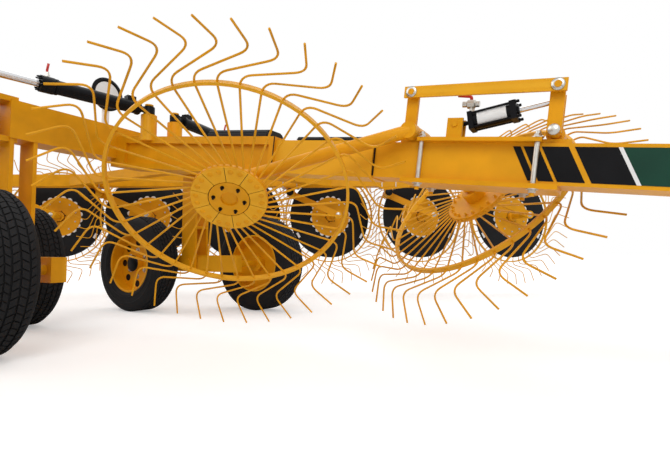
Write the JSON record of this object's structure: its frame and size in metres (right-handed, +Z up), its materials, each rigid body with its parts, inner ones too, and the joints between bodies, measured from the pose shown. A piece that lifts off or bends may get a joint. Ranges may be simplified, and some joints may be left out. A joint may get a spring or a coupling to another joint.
{
  "type": "carted wheel rake",
  "caption": "Towed carted V rake: walking-tandem cart with a sloping tongue, two swinging toolbars of tined rake wheels and a hydraulic pair of centre kicker wheels.",
  "frame": {"origin": "on the ground, under the middle of the overall box", "axes": "+X forward to the hitch, +Y to the machine's left, +Z up"},
  "size_m": [7.8801, 7.8784, 1.5792],
  "materials": {
    "yellow_paint": "gloss",
    "rake_wheel": "gloss",
    "rim": "gloss",
    "black_paint": "satin",
    "chrome": "polished",
    "sign_white": "satin",
    "tyre": "matte"
  },
  "bodies": {
    "frame": {"main_frame": "yellow_paint", "tongue": "yellow_paint", "jack": "black_paint", "kicker_mount": "yellow_paint", "sign": "sign_white"},
    "right_tandem": {"right_tandem": "yellow_paint"},
    "right_front_road_wheel": {"right_front_rim": "rim", "right_front_tyre": "tyre"},
    "right_rear_road_wheel": {"right_rear_rim": "rim", "right_rear_tyre": "tyre"},
    "right_swing": {"right_swing_frame": "yellow_paint"},
    "right_swing_barrel": {"right_swing_barrel": "black_paint"},
    "right_swing_rod": {"right_swing_rod": "chrome"},
    "right_arm_1": {"right_arm_1": "yellow_paint"},
    "right_wheel_1": {"right_wheel_1": "rake_wheel"},
    "right_arm_2": {"right_arm_2": "yellow_paint"},
    "right_wheel_2": {"right_wheel_2": "rake_wheel"},
    "right_arm_3": {"right_arm_3": "yellow_paint"},
    "right_wheel_3": {"right_wheel_3": "rake_wheel"},
    "right_arm_4": {"right_arm_4": "yellow_paint"},
    "right_wheel_4": {"right_wheel_4": "rake_wheel"},
    "right_arm_5": {"right_arm_5": "yellow_paint"},
    "right_wheel_5": {"right_wheel_5": "rake_wheel"},
    "right_arm_6": {"right_arm_6": "yellow_paint"},
    "right_wheel_6": {"right_wheel_6": "rake_wheel"},
    "left_tandem": {"left_tandem": "yellow_paint"},
    "left_front_road_wheel": {"left_front_rim": "rim", "left_front_tyre": "tyre"},
    "left_rear_road_wheel": {"left_rear_rim": "rim", "left_rear_tyre": "tyre"},
    "left_swing": {"left_swing_frame": "yellow_paint"},
    "left_swing_barrel": {"left_swing_barrel": "black_paint"},
    "left_swing_rod": {"left_swing_rod": "chrome"},
    "left_arm_1": {"left_arm_1": "yellow_paint"},
    "left_wheel_1": {"left_wheel_1": "rake_wheel"},
    "left_arm_2": {"left_arm_2": "yellow_paint"},
    "left_wheel_2": {"left_wheel_2": "rake_wheel"},
    "left_arm_3": {"left_arm_3": "yellow_paint"},
    "left_wheel_3": {"left_wheel_3": "rake_wheel"},
    "left_arm_4": {"left_arm_4": "yellow_paint"},
    "left_wheel_4": {"left_wheel_4": "rake_wheel"},
    "left_arm_5": {"left_arm_5": "yellow_paint"},
    "left_wheel_5": {"left_wheel_5": "rake_wheel"},
    "left_arm_6": {"left_arm_6": "yellow_paint"},
    "left_wheel_6": {"left_wheel_6": "rake_wheel"},
    "kicker_arm_right": {"kicker_arm_right": "yellow_paint"},
    "kicker_wheel_right": {"kicker_wheel_right": "rake_wheel"},
    "kicker_arm_left": {"kicker_arm_left": "yellow_paint"},
    "kicker_wheel_left": {"kicker_wheel_left": "rake_wheel"},
    "kicker_link": {"kicker_link": "yellow_paint"},
    "kicker_barrel": {"kicker_barrel": "black_paint"},
    "kicker_rod": {"kicker_rod": "chrome"}
  },
  "joints": [
    {"name": "right_tandem_rock", "type": "hinge", "parent": "frame", "child": "right_tandem", "pos_m": [-1.0099, -0.62, 0.36], "axis": [0, 1, 0], "range_deg": [-6, 6]},
    {"name": "right_front_road_spin", "type": "hinge", "parent": "right_tandem", "child": "right_front_road_wheel", "pos_m": [-0.6299, -0.93, 0.36], "axis": [0, 1, 0], "continuous": true},
    {"name": "right_rear_road_spin", "type": "hinge", "parent": "right_tandem", "child": "right_rear_road_wheel", "pos_m": [-1.3899, -0.41, 0.36], "axis": [0, 1, 0], "continuous": true},
    {"name": "right_swing", "type": "hinge", "parent": "frame", "child": "right_swing", "pos_m": [-1.0099, -0.79, 1.13], "axis": [0, 0, 1], "range_deg": [-4, 14]},
    {"name": "right_barrel_turn", "type": "hinge", "parent": "frame", "child": "right_swing_barrel", "pos_m": [-0.6399, -0.095, 1.285], "axis": [0, 0, 1], "range_deg": [-1.9, 6.18]},
    {"name": "right_rod_slide", "type": "slide", "parent": "right_swing_barrel", "child": "right_swing_rod", "axis": [-0.1675, -0.9859, 0], "range_m": [-0.0734, 0.0252]},
    {"name": "right_lift", "type": "hinge", "parent": "right_swing", "child": "right_arm_1", "pos_m": [-3.63739, -0.403, 1.049], "axis": [-0.5, -0.866, 0], "range_deg": [-9, 12]},
    {"name": "right_rake_spin_1", "type": "hinge", "parent": "right_arm_1", "child": "right_wheel_1", "pos_m": [-3.49098, -0.94941, 0.835], "axis": [0.7314, 0.682, 0], "continuous": true},
    {"name": "right_arm_lift_2", "type": "hinge", "parent": "right_swing", "child": "right_arm_2", "pos_m": [-2.77136, -0.903, 1.049], "axis": [-0.5, -0.866, 0], "range_deg": [-9, 12]},
    {"name": "right_rake_spin_2", "type": "hinge", "parent": "right_arm_2", "child": "right_wheel_2", "pos_m": [-2.62495, -1.44941, 0.835], "axis": [0.7314, 0.682, 0], "continuous": true},
    {"name": "right_arm_lift_3", "type": "hinge", "parent": "right_swing", "child": "right_arm_3", "pos_m": [-1.90534, -1.403, 1.049], "axis": [-0.5, -0.866, 0], "range_deg": [-9, 12]},
    {"name": "right_rake_spin_3", "type": "hinge", "parent": "right_arm_3", "child": "right_wheel_3", "pos_m": [-1.75893, -1.94941, 0.835], "axis": [0.7314, 0.682, 0], "continuous": true},
    {"name": "right_arm_lift_4", "type": "hinge", "parent": "right_swing", "child": "right_arm_4", "pos_m": [-1.03931, -1.903, 1.049], "axis": [-0.5, -0.866, 0], "range_deg": [-9, 12]},
    {"name": "right_rake_spin_4", "type": "hinge", "parent": "right_arm_4", "child": "right_wheel_4", "pos_m": [-0.8929, -2.44941, 0.835], "axis": [0.7314, 0.682, 0], "continuous": true},
    {"name": "right_arm_lift_5", "type": "hinge", "parent": "right_swing", "child": "right_arm_5", "pos_m": [-0.17328, -2.403, 1.049], "axis": [-0.5, -0.866, 0], "range_deg": [-9, 12]},
    {"name": "right_rake_spin_5", "type": "hinge", "parent": "right_arm_5", "child": "right_wheel_5", "pos_m": [-0.02687, -2.94941, 0.835], "axis": [0.7314, 0.682, 0], "continuous": true},
    {"name": "right_arm_lift_6", "type": "hinge", "parent": "right_swing", "child": "right_arm_6", "pos_m": [0.69274, -2.903, 1.049], "axis": [-0.5, -0.866, 0], "range_deg": [-9, 12]},
    {"name": "right_rake_spin_6", "type": "hinge", "parent": "right_arm_6", "child": "right_wheel_6", "pos_m": [0.83915, -3.44941, 0.835], "axis": [0.7314, 0.682, 0], "continuous": true},
    {"name": "left_tandem_rock", "type": "hinge", "parent": "frame", "child": "left_tandem", "pos_m": [-1.0099, 0.62, 0.36], "axis": [0, 1, 0], "range_deg": [-6, 6]},
    {"name": "left_front_road_spin", "type": "hinge", "parent": "left_tandem", "child": "left_front_road_wheel", "pos_m": [-0.6299, 0.93, 0.36], "axis": [0, 1, 0], "continuous": true},
    {"name": "left_rear_road_spin", "type": "hinge", "parent": "left_tandem", "child": "left_rear_road_wheel", "pos_m": [-1.3899, 0.41, 0.36], "axis": [0, 1, 0], "continuous": true},
    {"name": "left_swing", "type": "hinge", "parent": "frame", "child": "left_swing", "pos_m": [-1.0099, 0.79, 1.13], "axis": [0, 0, 1], "range_deg": [-14, 4]},
    {"name": "left_barrel_turn", "type": "hinge", "parent": "frame", "child": "left_swing_barrel", "pos_m": [-0.6399, 0.095, 1.285], "axis": [0, 0, 1], "range_deg": [-6.18, 1.9]},
    {"name": "left_rod_slide", "type": "slide", "parent": "left_swing_barrel", "child": "left_swing_rod", "axis": [-0.1675, 0.9859, 0], "range_m": [-0.0734, 0.0252]},
    {"name": "left_lift", "type": "hinge", "parent": "left_swing", "child": "left_arm_1", "pos_m": [-3.63739, 0.403, 1.049], "axis": [0.5, -0.866, 0], "range_deg": [-9, 12]},
    {"name": "left_rake_spin_1", "type": "hinge", "parent": "left_arm_1", "child": "left_wheel_1", "pos_m": [-3.49098, 0.94941, 0.835], "axis": [0.7314, -0.682, 0], "continuous": true},
    {"name": "left_arm_lift_2", "type": "hinge", "parent": "left_swing", "child": "left_arm_2", "pos_m": [-2.77136, 0.903, 1.049], "axis": [0.5, -0.866, 0], "range_deg": [-9, 12]},
    {"name": "left_rake_spin_2", "type": "hinge", "parent": "left_arm_2", "child": "left_wheel_2", "pos_m": [-2.62495, 1.44941, 0.835], "axis": [0.7314, -0.682, 0], "continuous": true},
    {"name": "left_arm_lift_3", "type": "hinge", "parent": "left_swing", "child": "left_arm_3", "pos_m": [-1.90534, 1.403, 1.049], "axis": [0.5, -0.866, 0], "range_deg": [-9, 12]},
    {"name": "left_rake_spin_3", "type": "hinge", "parent": "left_arm_3", "child": "left_wheel_3", "pos_m": [-1.75893, 1.94941, 0.835], "axis": [0.7314, -0.682, 0], "continuous": true},
    {"name": "left_arm_lift_4", "type": "hinge", "parent": "left_swing", "child": "left_arm_4", "pos_m": [-1.03931, 1.903, 1.049], "axis": [0.5, -0.866, 0], "range_deg": [-9, 12]},
    {"name": "left_rake_spin_4", "type": "hinge", "parent": "left_arm_4", "child": "left_wheel_4", "pos_m": [-0.8929, 2.44941, 0.835], "axis": [0.7314, -0.682, 0], "continuous": true},
    {"name": "left_arm_lift_5", "type": "hinge", "parent": "left_swing", "child": "left_arm_5", "pos_m": [-0.17328, 2.403, 1.049], "axis": [0.5, -0.866, 0], "range_deg": [-9, 12]},
    {"name": "left_rake_spin_5", "type": "hinge", "parent": "left_arm_5", "child": "left_wheel_5", "pos_m": [-0.02687, 2.94941, 0.835], "axis": [0.7314, -0.682, 0], "continuous": true},
    {"name": "left_arm_lift_6", "type": "hinge", "parent": "left_swing", "child": "left_arm_6", "pos_m": [0.69274, 2.903, 1.049], "axis": [0.5, -0.866, 0], "range_deg": [-9, 12]},
    {"name": "left_rake_spin_6", "type": "hinge", "parent": "left_arm_6", "child": "left_wheel_6", "pos_m": [0.83915, 3.44941, 0.835], "axis": [0.7314, -0.682, 0], "continuous": true},
    {"name": "kicker_arm_lift", "type": "hinge", "parent": "frame", "child": "kicker_arm_right", "pos_m": [0.99817, 0, 0.93716], "axis": [0, 1, 0], "range_deg": [-4, 9]},
    {"name": "kicker_spin_right", "type": "hinge", "parent": "kicker_arm_right", "child": "kicker_wheel_right", "pos_m": [0.31842, -0.42, 0.67251], "axis": [0.38, -0.617, -0.6891], "continuous": true},
    {"name": "kicker_lift", "type": "hinge", "parent": "frame", "child": "kicker_arm_left", "pos_m": [1.52376, 0, 0.8689], "axis": [0, 1, 0], "range_deg": [-4, 9]},
    {"name": "kicker_spin_left", "type": "hinge", "parent": "kicker_arm_left", "child": "kicker_wheel_left", "pos_m": [1.12772, 0.5, 0.71563], "axis": [0.38, 0.617, -0.6891], "continuous": true},
    {"name": "kicker_link_turn", "type": "hinge", "parent": "kicker_arm_left", "child": "kicker_link", "pos_m": [1.54308, -0.13, 1.01765], "axis": [0, 1, 0], "range_deg": [-10, 5]},
    {"name": "kicker_barrel_turn", "type": "hinge", "parent": "frame", "child": "kicker_barrel", "pos_m": [1.17989, -0.076, 0.93877], "axis": [0, 1, 0], "range_deg": [-0.31, 0.67]},
    {"name": "kicker_rod_slide", "type": "slide", "parent": "kicker_barrel", "child": "kicker_rod", "axis": [0.9941, 0, 0.1089], "range_m": [-0.008, 0.0174]}
  ],
  "couplings": [
    {"joint": "right_barrel_turn", "follows": "right_swing", "ratio": 0.4285},
    {"joint": "right_rod_slide", "follows": "right_swing", "m_per_rad": -0.276},
    {"joint": "right_arm_lift_2", "follows": "right_lift", "ratio": 1},
    {"joint": "right_arm_lift_3", "follows": "right_lift", "ratio": 1},
    {"joint": "right_arm_lift_4", "follows": "right_lift", "ratio": 1},
    {"joint": "right_arm_lift_5", "follows": "right_lift", "ratio": 1},
    {"joint": "right_arm_lift_6", "follows": "right_lift", "ratio": 1},
    {"joint": "left_barrel_turn", "follows": "left_swing", "ratio": 0.4285},
    {"joint": "left_rod_slide", "follows": "left_swing", "m_per_rad": 0.276},
    {"joint": "left_arm_lift_2", "follows": "left_lift", "ratio": 1},
    {"joint": "left_arm_lift_3", "follows": "left_lift", "ratio": 1},
    {"joint": "left_arm_lift_4", "follows": "left_lift", "ratio": 1},
    {"joint": "left_arm_lift_5", "follows": "left_lift", "ratio": 1},
    {"joint": "left_arm_lift_6", "follows": "left_lift", "ratio": 1},
    {"joint": "kicker_arm_lift", "follows": "kicker_lift", "ratio": 1},
    {"joint": "kicker_link_turn", "follows": "kicker_lift", "ratio": -1},
    {"joint": "kicker_barrel_turn", "follows": "kicker_lift", "ratio": 0.07208},
    {"joint": "kicker_rod_slide", "follows": "kicker_lift", "m_per_rad": 0.10689}
  ]
}
